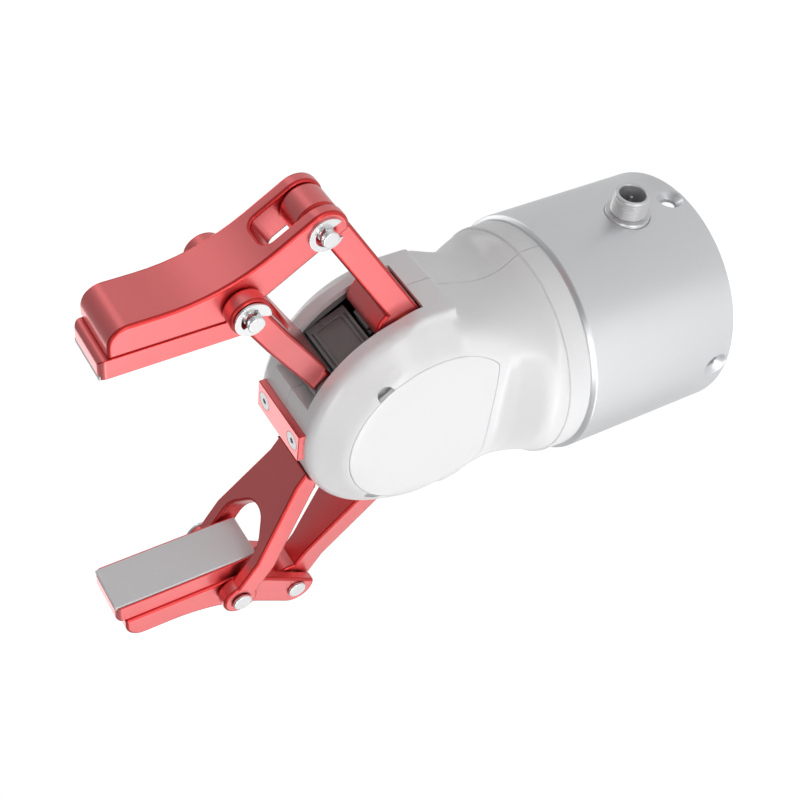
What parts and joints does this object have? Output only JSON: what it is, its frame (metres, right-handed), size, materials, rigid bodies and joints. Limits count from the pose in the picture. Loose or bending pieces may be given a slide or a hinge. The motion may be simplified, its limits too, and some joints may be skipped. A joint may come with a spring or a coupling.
{
  "type": "two-finger electric parallel gripper",
  "caption": "Electric robot gripper: round aluminium housing, white disc-shaped head and red parallelogram finger linkages with grey pads",
  "frame": {"origin": "centre of the robot end of the round housing, in the plane of its end face", "axes": "+Z along the housing towards the fingertips; the fingers open along X, finger 1 on the +X side; the link pivots run along Y"},
  "size_m": [0.1718, 0.08, 0.2041],
  "materials": {
    "housing_aluminium": "satin turned and clear anodised",
    "plain_aluminium": "machined",
    "white_plastic": "moulded, light gloss",
    "red_anodised": "red anodised satin",
    "grip_pad": "smooth light grey elastomer",
    "dark_plastic": "fine spark texture",
    "dark_metal": "blackened and ground",
    "motor_paint": "black coat",
    "board_green": "solder mask",
    "board_black": "moulded component bodies",
    "gold_contact": "gold plated",
    "bronze": "sintered bronze",
    "plated_steel": "bright nickel plate",
    "steel": "ground"
  },
  "bodies": {
    "housing": {"rear_housing": "housing_aluminium", "rear_bulkhead": "plain_aluminium", "bulkhead_screws": "steel", "control_board": "board_green", "board_parts": "board_black", "connector_shell": "plated_steel", "connector_insert": "dark_plastic", "connector_pins": "gold_contact", "connector_nut": "plated_steel", "motor": "motor_paint", "motor_encoder": "steel", "motor_gearbox": "steel", "motor_plate": "plain_aluminium", "motor_screws": "steel", "housing_bolts": "steel", "front_housing_near": "white_plastic", "front_housing_far": "white_plastic", "side_cover_near": "white_plastic", "side_cover_far": "white_plastic", "housing_screws": "steel", "front_clip": "red_anodised", "clip_screws": "steel", "side_frame_near": "dark_plastic", "side_frame_far": "dark_plastic", "rear_screw_block": "plain_aluminium", "front_screw_block": "dark_plastic", "screw_bearings": "steel", "link_guard_1": "dark_plastic", "link_guard_2": "dark_plastic", "frame_screws": "steel", "rear_axles": "steel", "front_axles": "steel"},
    "rear_link_1": {"rear_link_1": "red_anodised", "sector_gear_1": "steel", "rear_bushes_1": "bronze"},
    "rear_link_2": {"rear_link_2": "red_anodised", "sector_gear_2": "steel", "rear_bushes_2": "bronze"},
    "front_link_1": {"front_link_1": "red_anodised", "link_drum_1": "dark_metal"},
    "front_link_2": {"front_link_2": "red_anodised", "link_drum_2": "dark_metal"},
    "finger_1": {"finger_base_1": "red_anodised", "pad_carrier_1": "red_anodised", "grip_pad_1": "grip_pad", "finger_pins_1": "steel", "pin_clips_1": "plated_steel"},
    "finger_2": {"finger_base_2": "red_anodised", "pad_carrier_2": "red_anodised", "grip_pad_2": "grip_pad", "finger_pins_2": "steel", "pin_clips_2": "plated_steel"},
    "lead_screw": {"lead_screw": "steel", "shaft_coupling": "plain_aluminium"},
    "drive_rack": {"drive_rack": "plain_aluminium", "drive_nut": "bronze"}
  },
  "joints": [
    {"name": "finger_drive", "type": "hinge", "parent": "housing", "child": "rear_link_1", "pos_m": [0.03327, 0, 0.11039], "axis": [0, -1, 0], "range_deg": [0, 62.5]},
    {"name": "rear_link_2_swing", "type": "hinge", "parent": "housing", "child": "rear_link_2", "pos_m": [-0.03327, 0, 0.11039], "axis": [0, 1, 0], "range_deg": [0, 62.5]},
    {"name": "front_link_1_swing", "type": "hinge", "parent": "housing", "child": "front_link_1", "pos_m": [0.01761, 0, 0.13431], "axis": [0, -1, 0], "range_deg": [0, 62.5]},
    {"name": "front_link_2_swing", "type": "hinge", "parent": "housing", "child": "front_link_2", "pos_m": [-0.01761, 0, 0.13431], "axis": [0, 1, 0], "range_deg": [0, 62.5]},
    {"name": "finger_1_level", "type": "hinge", "parent": "rear_link_1", "child": "finger_1", "pos_m": [0.07887, 0, 0.14023], "axis": [0, -1, 0], "range_deg": [-62.5, 0]},
    {"name": "finger_2_level", "type": "hinge", "parent": "rear_link_2", "child": "finger_2", "pos_m": [-0.07887, 0, 0.14023], "axis": [0, 1, 0], "range_deg": [-62.5, 0]},
    {"name": "rack_travel", "type": "slide", "parent": "housing", "child": "drive_rack", "axis": [0, 0, -1], "range_m": [0, 0.00982]},
    {"name": "screw_turn", "type": "hinge", "parent": "housing", "child": "lead_screw", "pos_m": [0, 0, 0.1], "axis": [0, 0, 1], "range_deg": [0, 883.8]}
  ],
  "couplings": [
    {"joint": "rear_link_2_swing", "follows": "finger_drive", "ratio": 1},
    {"joint": "front_link_1_swing", "follows": "finger_drive", "ratio": 1},
    {"joint": "front_link_2_swing", "follows": "finger_drive", "ratio": 1},
    {"joint": "finger_1_level", "follows": "finger_drive", "ratio": -1},
    {"joint": "finger_2_level", "follows": "finger_drive", "ratio": -1},
    {"joint": "rack_travel", "follows": "finger_drive", "m_per_rad": 0.009},
    {"joint": "screw_turn", "follows": "finger_drive", "ratio": 14.137}
  ]
}
